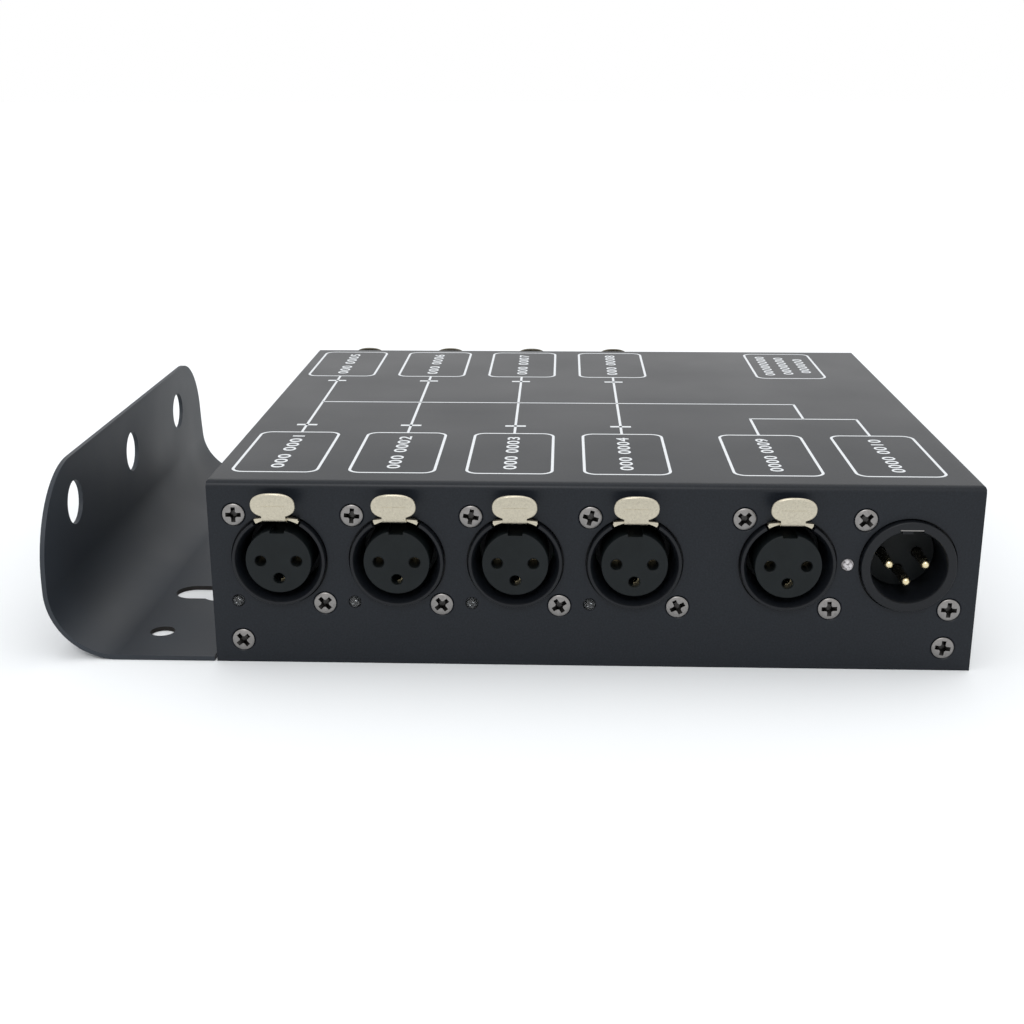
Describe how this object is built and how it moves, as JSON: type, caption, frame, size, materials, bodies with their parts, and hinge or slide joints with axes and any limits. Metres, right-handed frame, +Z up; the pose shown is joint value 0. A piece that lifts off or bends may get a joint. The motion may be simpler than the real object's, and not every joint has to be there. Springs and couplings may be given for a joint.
{
  "type": "dmx splitter",
  "caption": "Flat folded-steel signal splitter with a bent side bracket, latching round output sockets front and rear, a recessed input plug and indicator lamps.",
  "frame": {"origin": "middle of the enclosure's underside, on the plane it stands on", "axes": "+Z up, -Y out of the front panel with the input plug, -X towards the hanging bracket"},
  "size_m": [0.2335, 0.1824, 0.048],
  "materials": {
    "cover_paint": "fine powder coat, dark charcoal",
    "bracket_paint": "satin black coat",
    "socket_shell": "satin black die casting",
    "socket_insert": "moulded, dark grey-green",
    "latch_steel": "warm nickel, polished edges",
    "contact_gold": "gold plate",
    "lamp_lens": "clear lens, unlit",
    "screw_zinc": "zinc plate",
    "board_laminate": "green solder mask",
    "ribbon_grey": "grey ribbon",
    "standoff_zinc": "zinc plate",
    "transformer_core": "varnished core and winding",
    "capacitor_sleeve": "sleeved can",
    "fuse_glass": "glass tube with metal caps",
    "inlet_plastic": "moulded black",
    "blade_nickel": "nickel plate",
    "lead_sheath": "black sheath"
  },
  "bodies": {
    "splitter": {"cover": "cover_paint", "base_plate": "bracket_paint", "output_1_shell": "socket_shell", "output_1_insert": "socket_insert", "output_2_shell": "socket_shell", "output_2_insert": "socket_insert", "output_3_shell": "socket_shell", "output_3_insert": "socket_insert", "output_4_shell": "socket_shell", "output_4_insert": "socket_insert", "output_5_shell": "socket_shell", "output_5_insert": "socket_insert", "output_6_shell": "socket_shell", "output_6_insert": "socket_insert", "output_7_shell": "socket_shell", "output_7_insert": "socket_insert", "output_8_shell": "socket_shell", "output_8_insert": "socket_insert", "link_output_shell": "socket_shell", "link_output_insert": "socket_insert", "input_shell": "socket_shell", "input_insert": "socket_insert", "input_pin_1": "contact_gold", "input_pin_2": "contact_gold", "input_pin_3": "contact_gold", "output_lamp_1": "lamp_lens", "output_lamp_2": "lamp_lens", "output_lamp_3": "lamp_lens", "output_lamp_4": "lamp_lens", "input_lamp": "lamp_lens", "case_screw_1": "screw_zinc", "case_screw_2": "screw_zinc", "case_screw_3": "screw_zinc", "case_screw_4": "screw_zinc", "main_board": "board_laminate", "front_socket_board": "board_laminate", "rear_socket_board": "board_laminate", "front_ribbon": "ribbon_grey", "rear_ribbon": "ribbon_grey", "standoff_1": "standoff_zinc", "standoff_2": "standoff_zinc", "standoff_3": "standoff_zinc", "standoff_4": "standoff_zinc", "transformer": "transformer_core", "reservoir_capacitor": "capacitor_sleeve", "mains_fuse": "fuse_glass", "mains_inlet": "inlet_plastic", "inlet_blade_line": "blade_nickel", "inlet_blade_neutral": "blade_nickel", "inlet_blade_earth": "blade_nickel", "mains_lead": "lead_sheath"},
    "output_1_lever": {"output_1_latch": "latch_steel"},
    "output_2_lever": {"output_2_latch": "latch_steel"},
    "output_3_lever": {"output_3_latch": "latch_steel"},
    "output_4_lever": {"output_4_latch": "latch_steel"},
    "output_5_lever": {"output_5_latch": "latch_steel"},
    "output_6_lever": {"output_6_latch": "latch_steel"},
    "output_7_lever": {"output_7_latch": "latch_steel"},
    "output_8_lever": {"output_8_latch": "latch_steel"},
    "link_output_lever": {"link_output_latch": "latch_steel"}
  },
  "joints": [
    {"name": "output_1_release", "type": "hinge", "parent": "splitter", "child": "output_1_lever", "pos_m": [-0.0776, -0.082, 0.0387], "axis": [1, 0, 0], "range_deg": [0, 9], "stiffness_Nm_per_rad": 0.12, "springref_deg": -5.73},
    {"name": "output_2_release", "type": "hinge", "parent": "splitter", "child": "output_2_lever", "pos_m": [-0.0482, -0.082, 0.0387], "axis": [1, 0, 0], "range_deg": [0, 9], "stiffness_Nm_per_rad": 0.12, "springref_deg": -5.73},
    {"name": "output_3_release", "type": "hinge", "parent": "splitter", "child": "output_3_lever", "pos_m": [-0.0188, -0.082, 0.0387], "axis": [1, 0, 0], "range_deg": [0, 9], "stiffness_Nm_per_rad": 0.12, "springref_deg": -5.73},
    {"name": "output_4_release", "type": "hinge", "parent": "splitter", "child": "output_4_lever", "pos_m": [0.0106, -0.082, 0.0387], "axis": [1, 0, 0], "range_deg": [0, 9], "stiffness_Nm_per_rad": 0.12, "springref_deg": -5.73},
    {"name": "output_5_release", "type": "hinge", "parent": "splitter", "child": "output_5_lever", "pos_m": [-0.0776, 0.082, 0.0397], "axis": [-1, 0, 0], "range_deg": [0, 9], "stiffness_Nm_per_rad": 0.12, "springref_deg": -5.73},
    {"name": "output_6_release", "type": "hinge", "parent": "splitter", "child": "output_6_lever", "pos_m": [-0.0482, 0.082, 0.0397], "axis": [-1, 0, 0], "range_deg": [0, 9], "stiffness_Nm_per_rad": 0.12, "springref_deg": -5.73},
    {"name": "output_7_release", "type": "hinge", "parent": "splitter", "child": "output_7_lever", "pos_m": [-0.0188, 0.082, 0.0397], "axis": [-1, 0, 0], "range_deg": [0, 9], "stiffness_Nm_per_rad": 0.12, "springref_deg": -5.73},
    {"name": "output_8_release", "type": "hinge", "parent": "splitter", "child": "output_8_lever", "pos_m": [0.0106, 0.082, 0.0397], "axis": [-1, 0, 0], "range_deg": [0, 9], "stiffness_Nm_per_rad": 0.12, "springref_deg": -5.73},
    {"name": "link_output_release", "type": "hinge", "parent": "splitter", "child": "link_output_lever", "pos_m": [0.0482, -0.082, 0.0387], "axis": [1, 0, 0], "range_deg": [0, 9], "stiffness_Nm_per_rad": 0.12, "springref_deg": -5.73}
  ]
}
